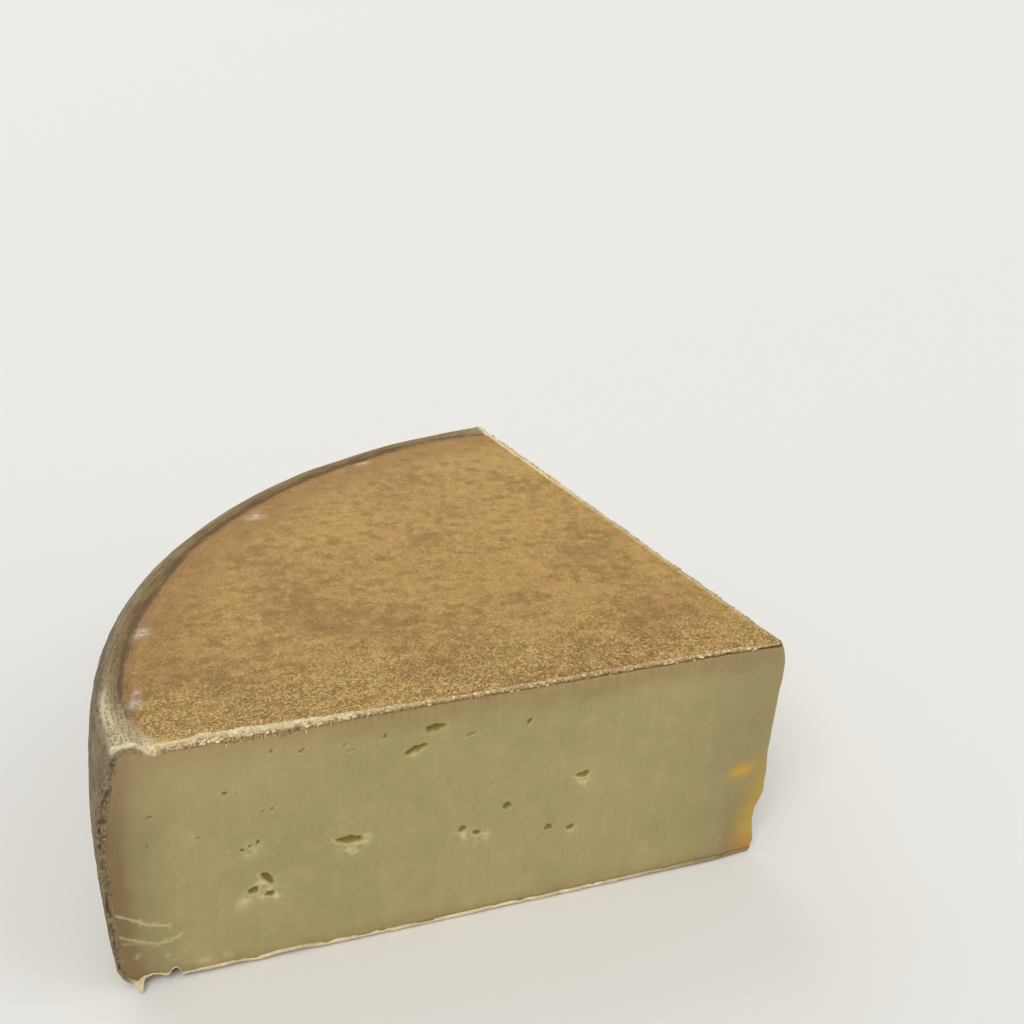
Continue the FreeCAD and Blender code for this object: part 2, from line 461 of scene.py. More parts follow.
# the rind
rind = dict(
    thickness=3.4 * mm,
    # first mesh: points along the outline and round the turn, and layers as shares of the thickness
    mesh=(182, 108), layers=(0, 0.08, 0.2, 0.36, 0.55, 0.76, 1),
    # then edges are cut, so many times, down to these lengths
    passes=3,
    topDetail=0.95 * mm, sideDetail=1.05 * mm, baseDetail=2.6 * mm,
    frontDetail=0.32 * mm, backDetail=0.55 * mm,
    # relief
    swell=0.5 * mm,            # slow ups and downs of the top
    grooveDepth=0.8 * mm,
    shoulderWiden=8.5 * mm,    # the shoulder outside the groove spreads this much at the front cut
    shoulderSpread=12 * mm,
    lipHeight=0.45 * mm, crestHeight=0.45 * mm,
    cornerFill=1.9 * mm,       # the front corner is pushed up and out
    grain=0.24 * mm, fineGrain=0.2 * mm, rib=0.12 * mm, fineRib=0.06 * mm, pitDepth=0.3 * mm,
    burr=0.35 * mm, beadHeight=1.1 * mm,    # what the knife pushed up along the cuts, and its one bead
    mostRelief=1.95 * mm,
    clawDown=3.1 * mm, clawOut=3.3 * mm,    # the spike of rind at the lower front corner
    # rind that shows on each cut, under the top: distance in from the radius and width, mm
    frontEdge=(
        (0, 1.2), (4, 1.3), (10, 1.4), (13, 1.9), (18, 1.3), (23, 1.2), (27, 1.1), (34, 2.0), (44, 1.9),
        (52, 1.2), (70, 0.9), (90, 0.8), (115, 0.7), (150, 0.6), (185, 0.5),
    ),
    backEdge=((0, 1.8), (20, 1.4), (60, 1.2), (85, 2.2), (100, 2.4), (112, 1.4), (150, 1.0), (185, 0.8)),
    baseEdge=1.2 * mm, sideEdge=2.1 * mm,
    # growths: distance from the wheel's axis and size in mm, turn in degrees
    mould=((175.4, 1.8, 19.3), (174.8, 1.4, 7.4), (174.2, 1.0, 9.0), (172.0, 1.8, 47.0), (175.0, 1.4, 66.0)),
    dark=((141.5, 2.4, 17.2), (118.0, 3.4, 52.0), (160.0, 2.2, 70.0)),
    # finish: sizes in mm, colours as a screen shows them
    scatter=(3, 1.6, 0.8), bumpStrength=0.8, bumpDepth=0.6 * mm,
    patchSize=38.0, fineSize=5.5, grainSize=0.58, beltSize=30.0,
    colours=dict(
        base=(176, 141, 73), light=(240, 203, 132), gap=(118, 84, 36), warm=(146, 107, 52),
        # rim: the shoulder's darker tone, partly painted shade towards the back
        yellow=(196, 163, 90), pink=(190, 138, 88), rim=(106, 86, 52), shoulder=(228, 212, 170),
        # groove: dark, partly painted shade in the crease
        mould=(226, 212, 204), groove=(90, 66, 36), grooveEdge=(148, 98, 60), bead=(226, 190, 92),
        under=(158, 134, 94), side=(120, 102, 69), sideDark=(78, 64, 42), sideLight=(172, 158, 120),
        sideGrey=(152, 141, 113), cream=(250, 233, 190), fringe=(188, 157, 104), fringeDark=(134, 105, 64),
        cutSide=(150, 133, 98), pit=(80, 63, 42),
    ),
)


def wrapRind(flat):
    along, share, depth = flat.T
    r, z, outR, outZ = onOutline(along)
    r = np.maximum(r - outR * depth * rind["thickness"], tipLead)
    z = z - outZ * depth * rind["thickness"]
    x, y = planPlace(r, share)
    return np.stack([x, y, z + apex.z], -1)


def rindDetail(flat, real):
    along, share, depth = flat.T
    r, z, outR, outZ = onOutline(along)
    wanted = np.where(outZ < -0.5, rind["baseDetail"], rind["sideDetail"])
    wanted = np.where(outZ > 0.5, rind["topDetail"], wanted)
    toFront = r * share * cutTurn
    toBack = r * (1 - share) * cutTurn
    nearEdge = (outZ > -0.3) | (r > wheel["radius"] - 24 * mm)
    wanted = np.where(nearEdge & (toBack < 2.5 * mm), rind["backDetail"], wanted)
    wanted = np.where(nearEdge & (toFront < 3.5 * mm), rind["frontDetail"], wanted)
    wanted = np.where((outZ < -0.5) & (toFront < 5 * mm), np.minimum(wanted, 0.8 * mm), wanted)
    return np.where(depth > 0.97, 1.0, wanted)


def rindEdgeWidth(along, r, outZ, atBack):
    # how much of the rind's thickness shows on a cut
    fromRim = wheel["radius"] - r
    uneven = 1 + 0.3 * roughNoise(np.stack([along, atBack * 0.3, 0 * along], -1), 4 * mm, 3, 21)
    top = np.where(atBack > 0.5, onLine(fromRim, rind["backEdge"]), onLine(fromRim, rind["frontEdge"]))
    onTop, onBase = ease(outZ, 0.2, 0.8), ease(-outZ, 0.2, 0.8)
    return (top * onTop + rind["baseEdge"] * onBase + rind["sideEdge"] * (1 - onTop - onBase)) * uneven


def makeRind():
    length = outline[0][-1]
    rows, columns = rind["mesh"]
    steps = (np.linspace(0, length, rows), np.linspace(0, 1, columns), np.array(rind["layers"]))
    work, flat = refinedBlock(steps, wrapRind, rindDetail, rind["passes"])
    places = wrapRind(flat)
    along, share, depth = flat.T
    r, z, outR, outZ = onOutline(along)
    turn = share * cutTurn
    onTop, onBase = ease(outZ, 0.5, 0.93), ease(-outZ, 0.4, 0.9)
    onSide = 1 - onTop - onBase
    fromRim = wheel["radius"] - r
    toFront, toBack = r * turn, r * (cutTurn - turn)
    wrapped = np.stack([turn * wheel["radius"], r, z], -1)
    roundRim = wrapped * (1, 0, 0)

    # relief of the outer skin, outwards
    upper = onTop * ease(z, wheelHeight * 0.8, wheelHeight * 0.95)
    spread = np.exp(-((toFront / rind["shoulderSpread"]) ** 1.3)) + 0.35 * np.exp(-toBack / (6 * mm))
    grooveLine = wheel["grooveInset"] + rind["shoulderWiden"] * spread
    grooveLine += 0.8 * mm * roughNoise(roundRim, 24 * mm, 2, 51)
    intoTop = fromRim - grooveLine    # over 0 inside the groove
    groove = upper * hump(intoTop, 0, np.where(intoTop > 0, 0.8 * mm, 1.6 * mm))
    groove *= (0.75 + 0.25 * softNoise(roundRim, 9 * mm, 53)) * ease(toFront, 0.5 * mm, 9 * mm)
    lip = upper * hump(fromRim, 3.6 * mm, 2.3 * mm) * (0.8 + 0.3 * softNoise(roundRim, 13 * mm, 57))
    relief = rind["swell"] * roughNoise(places, 46 * mm, 3, 3) * (1 - 0.4 * onSide - 0.8 * onBase)
    relief += 0.7 * mm * onTop * hump(toFront, 0, 20 * mm) * hump(fromRim, 36 * mm, 26 * mm)
    relief += rind["lipHeight"] * lip - rind["grooveDepth"] * groove
    atCorner = hump(toFront, 0, 9 * mm) * ease(outZ, 0.5, 0.95) * hump(fromRim, 3.4 * mm, 4 * mm)
    relief += rind["cornerFill"] * atCorner
    relief -= 0.7 * mm * hump(toFront, 0, 22 * mm) * onTop * hump(fromRim, 9 * mm, 3 * mm)
    crestLine = onTop * hump(fromRim, 3.2 * mm, 0.9 * mm) * ease(toFront, 75 * mm, 30 * mm)
    relief += rind["crestHeight"] * crestLine * (0.7 + 0.5 * softNoise(wrapped, 2.2 * mm, 59))
    grains = grainNoise(places, 2.3 * mm, 31)
    fineGrains = grainNoise(places, 1.25 * mm, 37)
    onShoulder = ease(intoTop, 0.4 * mm, -1.2 * mm)
    sandy = rind["grain"] * (grains - 0.45) + rind["fineGrain"] * (fineGrains - 0.45)
    relief += onTop * (1 - 0.7 * onShoulder) * sandy
    relief += onBase * 0.1 * mm * (grains - 0.5)
    # marks run round the top and up the side
    combed = np.where((onTop > 0.5)[:, None], wrapped[:, [1, 0, 2]], wrapped)
    ribs = softNoise(combed / (1.7 * mm, 11 * mm, 11 * mm), 1.0, 41)
    fineRibs = softNoise(wrapped / (8 * mm, 8 * mm, 1.2 * mm), 1.0, 43)
    bands = softNoise(wrapped / (60 * mm, 1, 2.6 * mm), 1.0, 47)
    sideFeel = np.maximum(onSide, 0.6 * onTop * onShoulder)
    relief += sideFeel * (rind["rib"] * ribs + rind["fineRib"] * fineRibs)
    relief += onSide * (0.12 * mm * bands + 0.26 * mm * (fineGrains - 0.5) + 0.16 * mm * (grains - 0.5))
    pits = ease(softNoise(wrapped / (1.2 * mm, 1, 1.5 * mm), 1.0, 61), 0.5, 0.85) * onSide
    pits *= ease(softNoise(wrapped, 14 * mm, 62), -0.5, 0.3)
    relief -= rind["pitDepth"] * pits

    # burr that the knife left along the top of each cut
    burr = rind["burr"] * (1 + roughNoise(np.stack([fromRim, share, 0 * r], -1), 3.6 * mm, 2, 63))
    bead = hump(fromRim, 24.4 * mm, 1.8 * mm)
    burr += (1 - share) * (rind["beadHeight"] * bead + 0.3 * mm * hump(fromRim, 38 * mm, 13 * mm))
    burrReach = (0.5 + 0.6 * (1 - share) * ease(fromRim, 62 * mm, 40 * mm)) * mm
    nearCut = np.maximum(hump(toFront, 0.3 * mm, burrReach), hump(toBack, 0.3 * mm, 0.9 * mm) * 0.8)
    lumpy = grainNoise(places, 1.1 * mm, 67)
    relief += onTop * nearCut * burr * (0.6 + 0.8 * lumpy)
    relief = np.minimum(relief, rind["mostRelief"])

    outward = np.stack([-outR * np.cos(turn), outR * np.sin(turn), outZ], -1)
    outer = depth < 0.001
    deep = np.clip(1 - depth * 3, 0, 1)    # the first rows of the cut edge follow the skin's relief
    places += outward * (relief * np.where(outer, 1, deep))[:, None]

    # the cut edge of the rind stands a little out of the cut, or sinks into it
    atFront = share == 0
    onEdge = atFront | (share == 1) | (along == 0) | (along >= length - 1e-6)
    inFrom = depth * rind["thickness"]
    width = rindEdgeWidth(along, r, outZ, share)
    down = np.clip(inFrom / width, 0, 1)
    crumbly = grainNoise(places, 0.85 * mm, 71)
    uneven = roughNoise(places, 2.4 * mm, 2, 73)
    proudTop = (0.1 * mm + 0.8 * mm * crumbly + 0.3 * mm * uneven) * ease(down, 0.75, 0.1)
    proudTop += 0.7 * mm * down * (1 - down) * softNoise(combed / (0.6 * mm, 1, 3 * mm), 1.0, 74)
    crumbled = hump(down, 0.45, 0.3) * ease(roughNoise(places, 1.5 * mm, 3, 77), -0.15, 0.25)
    proudSide = -0.1 * mm + 0.4 * mm * (crumbly - 0.5) + 0.2 * mm * uneven - 0.6 * mm * crumbled
    claw = hump(fromRim, 4.4 * mm, 0.9 * mm) * atFront
    proudBase = 0.12 * mm + 0.2 * mm * crumbly + rind["clawDown"] * claw * ease(down, 1.0, 0.1)
    proud = proudTop * onTop + proudSide * onSide + proudBase * onBase
    dive = ease(inFrom, width, width + 0.4 * mm)    # under the edge it dives into the paste
    proud = proud * (1 - dive) - 1.3 * mm * dive
    atTip = ease(r, 4 * mm, 16 * mm)
    proud = np.where(inFrom > width, proud, proud * (0.35 + 0.65 * atTip))
    drawnBack = -0.1 * mm - 0.4 * mm * onTop - 0.15 * mm * onSide + rind["clawOut"] * claw * onBase
    drawnBack *= ease(np.minimum(toFront, toBack), 2.4 * mm, 0) * atTip
    nearestCut = cutNormal(np.where(np.minimum(r, toFront) < 0.6 * mm, share, np.round(share)))
    places += nearestCut * np.where(outer, drawnBack, proud * onEdge)[:, None]
    places = wearDown(places)
    places[:, 2] = np.clip(places[:, 2], nodeLow.z, nodeHigh.z + 2 * mm)

    # masks for the finish: the pale shoulder
    crestAt = fromRim - 1.1 * mm * roughNoise(wrapped, 7 * mm, 3, 87)
    crestTone = hump(crestAt, 3.5 * mm, 1.6 * mm) * (0.08 + 0.92 * ease(toFront, 44 * mm, 14 * mm))
    byCut = 0.95 * hump(toFront, 0, 13 * mm) * ease(fromRim, 1.0 * mm, 2.6 * mm)
    across = 0.72 * hump(toFront, 0, 23 * mm) + 0.3 * np.exp(-toBack / (14 * mm))
    worn = 1 + 0.5 * roughNoise(places, 5 * mm, 3, 81)
    pale = onTop * onShoulder * np.clip(np.maximum.reduce([crestTone, byCut, across]) * worn, 0, 1)
    # the cream of the torn crest, of the patch by the corner and of the base's edge
    cutEdge = np.where(onEdge & ~outer, 1.0, 0.0)
    ridge = np.clip(1.35 * nearCut * (0.6 + lumpy) - 0.25, 0, 1)
    ridge *= 1 - 0.55 * ease(fromRim, 50 * mm, 90 * mm)
    strong = (1 - 0.6 * ease(fromRim, 46 * mm, 85 * mm)) * (0.75 + 0.3 * softNoise(places, 3 * mm, 86))
    strong *= 1 - 0.75 * hump(fromRim, 4.5 * mm, 3.6 * mm)
    patch = onTop * hump(fromRim, 11.4 * mm, 2.2 * mm)
    ragged = 0.24 + 0.24 * softNoise(places, 1.5 * mm, 84) + 0.45 * patch
    ridge *= np.where(outer, 1, ease(down, ragged + 0.15, ragged - 0.15))
    strong *= cutEdge * ease(down, ragged + 0.2, ragged - 0.2)
    cream = np.maximum.reduce([
        onTop * ridge,
        onTop * strong,
        0.9 * patch * hump(toFront, 0, 3 * mm) * (0.8 + 0.4 * lumpy),
        0.85 * atFront * onBase * ease(r, 6 * mm, 60 * mm) * (0.75 + 0.35 * softNoise(places, 2.5 * mm, 85)),
    ])
    # growths
    spots = {}
    for kind in ("mould", "dark"):
        spots[kind] = np.zeros(len(r))
        for distance, size, degrees in rind[kind]:
            away = np.hypot(r - distance * mm, r * (turn - math.radians(degrees)) / 1.6)
            reach = size * mm * (1 + 0.45 * softNoise(places, 1.8 * mm, 83))
            spots[kind] = np.maximum(spots[kind], onTop * hump(away, 0, reach))
    cutSide = cutEdge * onSide
    masks = dict(
        wrap=combed, belt=wrapped * (0.5, 0.5, 1.3), weft=wrapped[:, [2, 0, 1]],
        onSide=onSide, skirt=1 - onBase, flat=onTop * ease(fromRim, 2.4 * mm, 4.4 * mm),
        intoTop=np.clip(intoTop / mm, -12, 12), fromFront=toFront / (100 * mm),
        # sharper grains towards the front cut, partly painted light
        crisp=0.6 + 0.85 * onTop * np.exp(-toFront / (40 * mm)),
        # a darker, warmer ring inside the groove towards the back: partly mottling, partly painted shade
        warmRingAndShade=onTop * ease(toFront, 15 * mm, 60 * mm) * ease(intoTop, 0, 2 * mm)
        * hump(intoTop, 6 * mm, 9 * mm),
        # the shoulder outside the groove, darker away from the front cut: partly its own tone, partly painted
        # shade
        rimToneAndShade=upper * onShoulder * (1 - 0.6 * hump(toFront, 0, 18 * mm)),
        pale=pale, cream=cream, mould=spots["mould"], dark=0.7 * spots["dark"],
        bead=(1 - share) * hump(fromRim, 15.6 * mm, 2 * mm) * hump(toFront, 2.2 * mm, 1.6 * mm) * onTop,
        fringe=cutEdge * onTop, corner=cutEdge * onTop * atFront * ease(fromRim, 9.5 * mm, 6.5 * mm),
        cutSide=cutSide, pit=np.clip(np.maximum(pits * 0.9, cutSide * crumbled), 0, 1),
        cutLine=cutSide * np.maximum(hump(down, 0, 0.2), 0.8 * hump(down, 0.95, 0.16)),
    )
    return finishMesh("rind", work, places, masks)


def makeRindFinish():
    material, bench, shader, place = newMaterial(
        "rindSkin", rind["colours"], rind["scatter"], Specular_IOR_Level=0.3, Subsurface_Weight=0.05,
    )
    mask, noise, ramp, times, plus = bench.mask, bench.noise, bench.ramp, bench.times, bench.plus
    wrap = mask("wrap", "Vector")
    skirt, rimToneAndShade, fromFront = (mask(name) for name in ("skirt", "rimToneAndShade", "fromFront"))
    patches, fine = bench.group(
        mottleGroup, Vector=place, Patch_Size=rind["patchSize"], Fine_Size=rind["fineSize"], Contrast=1.1,
    )
    height, light, gaps = bench.group(
        sandGroup, Vector=place, Grain_Size=rind["grainSize"], Crispness=mask("crisp"),
    )
    streaks, wide = bench.group(streakGroup, Vector=wrap, Across=0.8, Along=14.0)
    clumps = noise(place, 270.0, 4.0, 0.6)
    # the top's grains are lighter and crisper towards the front cut: partly painted light
    nearFront = ramp(fromFront, 0.5, 0.0)
    top = bench.coats(
        "base",
        ("gap", times(gaps, 0.56)),
        ("light", times(light, 0.66)),
        ("warm", ramp(patches, 0.48, 0.85, 0.6)),
        ("yellow", ramp(patches, 0.5, 0.15, 0.35)),
        ("pink", ramp(fine, 0.52, 0.9, 0.55)),
        ("warm", ramp(fine, 0.46, 0.12, 0.6)),
        ("yellow", ramp(clumps, 0.5, 0.68, 0.72)),
        ("warm", ramp(clumps, 0.47, 0.3, 0.7)),
        # partly painted light: lighter grains and darker gaps towards the front cut
        ("light", times(light, nearFront, 0.6)),
        ("gap", times(gaps, nearFront, 0.35)),
        # darker, warmer ring towards the back, partly painted shade
        ("warm", times(mask("warmRingAndShade"), 0.5)),
        # the shoulder's darker tone, partly painted shade towards the back
        ("rim", times(rimToneAndShade, 0.7)),
    )
    # the side: cloudy belts, and the weave of a cloth, which shows better in some places
    belts, fineBelts = bench.group(
        mottleGroup, Vector=mask("belt", "Vector"), Patch_Size=rind["beltSize"], Fine_Size=8.0, Contrast=1.0,
    )
    weft = bench.group(streakGroup, Vector=mask("weft", "Vector"), Across=0.7, Along=8.0)["Streaks"]
    woven = plus(times(streaks, 0.55), times(weft, 0.45))
    cloth = plus(0.35, times(fine, 0.65))
    side = bench.coats(
        "sideDark",
        ("side", ramp(belts, -0.3, 0.8)),
        ("sideGrey", ramp(fineBelts, 0.5, 0.95, 0.5)),
        ("under", ramp(patches, 0.45, 0.85, 0.45)),
        ("sideLight", times(ramp(woven, 0.5, 0.9, 0.45), cloth)),
        ("sideDark", times(ramp(woven, 0.5, 0.1, 0.6), cloth)),
        ("sideDark", ramp(noise(place, 95.0, 4.0, 0.7), 0.52, 0.68, 0.6)),    # stains
        ("sideGrey", ramp(noise(place, 60.0, 5.0, 0.75), 0.55, 0.75, 0.5)),    # bloom
        ("sideLight", times(light, 0.5)),
        ("sideDark", times(gaps, 0.65)),
    )
    base = bench.coats(
        "under", ("side", times(fine, 0.6)), ("gap", times(gaps, 0.5)), ("sideLight", times(light, 0.4)),
    )
    # the groove has a reddish inner edge, and both are frayed; the groove's dark, which grows away from the
    # front cut, is partly its own colour, partly painted shade in the crease
    threads = ramp(plus(streaks, height), 0.45, 1.15)
    frayed = bench.math("SUBTRACT", mask("intoTop"), times(plus(streaks, fine), 0.9))
    grooveReach = times(ramp(fromFront, 0.1, 0.26), skirt)
    redEdge = times(ramp(frayed, -0.6, 0.2), ramp(frayed, 2.0, 0.7), grooveReach)
    groove = times(ramp(frayed, -3.2, -2.0), ramp(frayed, 0.1, -0.7), ramp(plus(wide, fine), 0.3, 0.9))
    fluffy = times(mask("mould"), ramp(noise(place, 700.0, 3.0, 0.6), 0.3, 0.55))
    # the cut edge: a pale crest over a darker, hatched fringe
    hatch = bench.group(streakGroup, Vector=wrap, Across=0.5, Along=3.0)["Streaks"]
    fringe = bench.coats("fringeDark", ("fringe", ramp(hatch, 0.2, 0.8)), ("cream", times(light, 0.2)))
    crest = bench.coats("cream", ("fringe", ramp(height, 0.55, 0.0, 0.6)))
    speck = bench.coats("sideDark", ("cutSide", ramp(noise(place, 1100.0, 3.0, 0.6), 0.35, 0.65)))
    cutLine = times(mask("cutLine"), ramp(noise(place, 600.0, 3.0, 0.6), 0.3, 0.6))
    tone = bench.coats(
        base,
        (side, skirt),
        (top, mask("flat")),
        # dark streaks on the shoulder, partly painted shade
        ("sideDark", times(rimToneAndShade, ramp(streaks, 0.55, 0.0, 0.55))),
        ("shoulder", times(mask("pale"), plus(times(threads, 0.7), 0.3))),
        ("grooveEdge", times(redEdge, 0.55)),
        # the groove's dark, partly painted shade in the crease
        ("groove", times(groove, grooveReach, 0.72)),
        ("warm", mask("dark")),
        ("mould", times(fluffy, 0.7)),
        ("bead", times(mask("bead"), 0.8)),
        (fringe, mask("fringe")),
        ("sideGrey", times(mask("corner"), 0.7)),
        (crest, mask("cream")),
        (speck, times(mask("cutSide"), 0.85)),
        ("sideLight", times(cutLine, 0.7)),
        ("pit", mask("pit")),
    )
    ribbed = times(woven, bench.math("MAXIMUM", mask("onSide"), rimToneAndShade))
    normal = bench.bump(plus(height, ribbed), rind["bumpStrength"], rind["bumpDepth"])
    bench.fill(shader, Base_Color=tone, Roughness=plus(0.6, times(gaps, 0.25)), Normal=normal)
    return material


# the paste
paste = dict(
    topInset=1.0 * mm, baseInset=0.7 * mm, rindInset=0.9 * mm,    # it ends inside the rind
    mesh=(116, 46, 17), passes=4,    # points outwards, upwards and round the turn
    faceDetail=1.5 * mm, fineDetail=0.3 * mm, edgeDetail=0.45 * mm, hiddenDetail=9 * mm,
    waviness=0.35 * mm, streaks=0.012 * mm, lipHeight=0.28 * mm, crackHeight=0.16 * mm,
    # eyes, in mm and degrees: distance from the tip, level, length, width, tilt, depth, how pale the lip is
    # (partly a painted highlight)
    eyes=(
        (101.1, 62.1, 6.3, 2.9, 2, 1.7, 0.1),
        (106.4, 56.9, 6.2, 2.1, 14, 1.5, 0.1),
        (124.0, 32.9, 7.4, 2.4, -9, 1.5, 1.0),
        (146.1, 26.0, 5.6, 2.3, -54, 1.5, 1.0),
        (149.6, 22.8, 3.1, 2.5, 30, 1.3, 0.9),
        (145.6, 21.0, 2.8, 1.6, 0, 1.1, 1.0),
        (152.4, 36.2, 1.6, 0.9, -20, 0.6, 0.6),
        (150.4, 36.9, 2.0, 0.6, 30, 0.5, 1.0),
        (148.2, 37.7, 1.4, 1.1, 60, 0.6, 0.6),
        (93.0, 29.4, 2.8, 1.9, 20, 0.6, 0.8),
        (89.0, 27.3, 3.0, 1.7, -15, 0.7, 0.9),
        (80.5, 34.0, 2.7, 2.2, 20, 1.2, 0.1),
        (58.6, 39.3, 4.4, 1.8, 4, 0.9, 1.0),
        (68.0, 24.4, 2.5, 2.0, 0, 0.6, 0.2),
        (61.3, 22.8, 2.7, 2.0, 10, 0.6, 0.5),
        (75.2, 59.3, 2.2, 1.3, 55, 0.5, 0.5),
        (136.7, 62.4, 2.4, 0.8, 25, 0.35, 0.4),
        (144.2, 63.9, 1.6, 0.7, 60, 0.35, 0.1),
        (123.7, 59.8, 3.2, 0.6, 0, 0.3, 0.6),
        (125.4, 62.0, 2.2, 0.6, 12, 0.25, 0.4),
        (114.7, 62.4, 1.5, 1.1, 50, 0.4, 0.1),
        (91.7, 58.5, 3.4, 1.0, 16, 0.4, 0.6),
        (156.0, 54.1, 1.4, 0.9, 0, 0.5, 0.3),
        (153.3, 53.6, 0.9, 0.5, 0, 0.3, 0.1),
        (147.0, 46.8, 1.7, 0.5, 12, 0.3, 0.2),
        (144.4, 47.2, 1.0, 0.7, 0, 0.4, 0.1),
        (174.4, 51.1, 1.6, 0.8, -6, 0.45, 0.0),
        (175.7, 42.9, 1.2, 0.7, 80, 0.35, 0.0),
        (163.2, 42.4, 1.8, 0.4, 0, 0.3, 0.0),
        (139.6, 56.0, 0.9, 0.6, 0, 0.25, 0.2),
    ),
    # pale scuffs round some of the eyes: distance from the tip, level and size, mm, and strength
    scuffs=(
        (147.2, 23.4, 5.0, 0.9), (143.6, 19.9, 3.2, 0.9), (152.5, 20.4, 3.0, 0.8), (149.6, 35.2, 3.4, 0.8),
        (124.0, 30.4, 3.4, 0.9), (120.0, 32.3, 2.6, 0.7), (92.6, 27.4, 2.6, 0.8), (87.6, 26.0, 2.6, 0.8),
        (58.2, 37.6, 3.0, 0.8), (61.3, 21.2, 2.2, 0.6), (101.0, 60.4, 2.0, 0.4), (106.8, 55.4, 2.2, 0.4),
        (180.7, 9.6, 1.2, 0.6), (172.5, 8.3, 1.1, 0.6), (171.6, 5.6, 1.0, 0.6), (163.0, 3.4, 2.2, 0.8),
        (157.5, 3.8, 1.8, 0.8),
    ),
    # fine cracks by the rind, low on the front cut: how strong, and the points that each runs through, mm
    cracks=(
        (1.0, ((185.6, 24.0), (181.6, 22.0), (177.6, 19.4), (171.5, 17.6))),
        (0.9, ((184.7, 17.0), (180.4, 14.9), (175.5, 13.0), (171.8, 12.6), (168.7, 14.4))),
        (0.45, ((183.9, 14.8), (179.5, 13.9), (176.2, 13.1))),
    ),
    backEyes=dict(count=26, fromTip=(16, 172), level=(9, 62), apart=9, bigShare=0.4),    # mm
    # a thin spot near the tip with a painted glow of light through it, mm and degrees
    glowSpot=dict(fromTip=8.8, level=30.3, length=7.6, width=4.2, tilt=12),
    # finish: sizes in mm
    scatter=(6, 3.5, 1.2), bumpStrength=0.3, bumpDepth=0.4 * mm,
    patchSize=24.0, fineSize=5.0, knifeMark=(1.6, 34.0),
    colours=dict(
        body=(163, 148, 100), olive=(154, 142, 94), tan=(172, 150, 106), dull=(132, 118, 76),
        # the next two: darker paste by the side and the top rind, partly painted shade
        nearRind=(76, 62, 38), nearTop=(142, 114, 72), amber=(176, 146, 62), brown=(140, 112, 66),
        # amber and brown above, orange and thin: the tip's painted glow
        orange=(174, 114, 50), thin=(194, 150, 46), eye=(152, 127, 40), eyeDeep=(128, 102, 20),
        # lip: pale lips and specks; on the eyes' lower lips partly a painted highlight
        dot=(116, 103, 58), hair=(166, 142, 96), lip=(214, 205, 158), crack=(196, 181, 132),
    ),
)


def backEyes():    # the hidden cut has eyes of the same kinds, scattered
    dice = random.Random(7)
    spots = paste["backEyes"]
    eyes = []
    while len(eyes) < spots["count"]:
        place = (dice.uniform(*spots["fromTip"]), dice.uniform(*spots["level"]))
        if all(math.dist(place, eye[:2]) > spots["apart"] for eye in eyes):
            big = dice.random() < spots["bigShare"]
            long = dice.uniform(3.6, 7.2) if big else dice.uniform(1.2, 3.0)
            wide = long * dice.uniform(0.32, 0.6)
            eyes.append(place + (long, wide, dice.uniform(-30, 40), min(1.6, 0.3 * long), dice.random()))
    return eyes


def pasteEdge(z):
    # the outer skin's radius at this level, less what the rind covers
    fine, smooth, normal = outline
    outer = smooth[:, 0] > wheel["radius"] - 12 * mm
    order = np.argsort(smooth[outer, 1])
    return np.interp(z, smooth[outer, 1][order], smooth[outer, 0][order]) - paste["rindInset"]


def wrapPaste(flat):
    out, up, share = flat.T
    z = paste["baseInset"] + (wheelHeight - paste["topInset"] - paste["baseInset"]) * up
    distance = tipLead + (pasteEdge(z) - tipLead) * out
    x, y = planPlace(distance, share)
    return np.stack([x, y, z + apex.z], -1)


def alongFace(places, share):    # distance from the tip along a cut, and level
    atBack = share > 0.5
    dx, dy = apex.x - places[:, 0], places[:, 1] - apex.y
    back = dx * math.cos(cutTurn) + dy * math.sin(cutTurn)
    return np.where(atBack, back, dx), places[:, 2] - apex.z


def nearLine(u, z, points):
    nearest = np.full(len(u), 1.0)
    for (u0, z0), (u1, z1) in zip(points, points[1:]):
        u0, z0, u1, z1 = (value * mm for value in (u0, z0, u1, z1))
        du, dz = u1 - u0, z1 - z0
        along = np.clip(((u - u0) * du + (z - z0) * dz) / (du ** 2 + dz ** 2), 0, 1)
        nearest = np.minimum(nearest, np.hypot(u - u0 - along * du, z - z0 - along * dz))
    return nearest


def pasteDetail(flat, real):
    out, up, share = flat.T
    u, z = alongFace(real, share)
    wanted = np.full(len(u), paste["faceDetail"])
    for atBack, eyes in ((False, paste["eyes"]), (True, backEyes())):
        here = (share > 0.5) == atBack
        for fromTip, level, long in (eye[:3] for eye in eyes):
            near = np.hypot(u - fromTip * mm, z - level * mm) < (long * 0.75 + 1.0) * mm
            wanted = np.where(here & near, paste["fineDetail"] * (1.3 if atBack else 1), wanted)
    for strength, line in paste["cracks"]:
        wanted = np.where((share < 0.5) & (nearLine(u, z, line) < 0.8 * mm), paste["fineDetail"], wanted)
    edge = (up > 0.945) | (out > 0.975)
    wanted = np.where(edge, np.minimum(wanted, np.where(share < 0.5, 0.6 * mm, 0.9 * mm)), wanted)
    chipped = (share < 0.5) & (z < 8 * mm) & (wheel["radius"] - u < 19 * mm)
    wanted = np.where(chipped, np.minimum(wanted, paste["edgeDetail"]), wanted)
    inCut = (share < 0.0001) | (share > 0.9999) | (out < 0.0001)
    return np.where(inCut, wanted, paste["hiddenDetail"])


def leaning(du, dz, degrees):    # the same offsets, along and across a lean
    lean = math.radians(degrees)
    return du * math.cos(lean) + dz * math.sin(lean), -du * math.sin(lean) + dz * math.cos(lean)


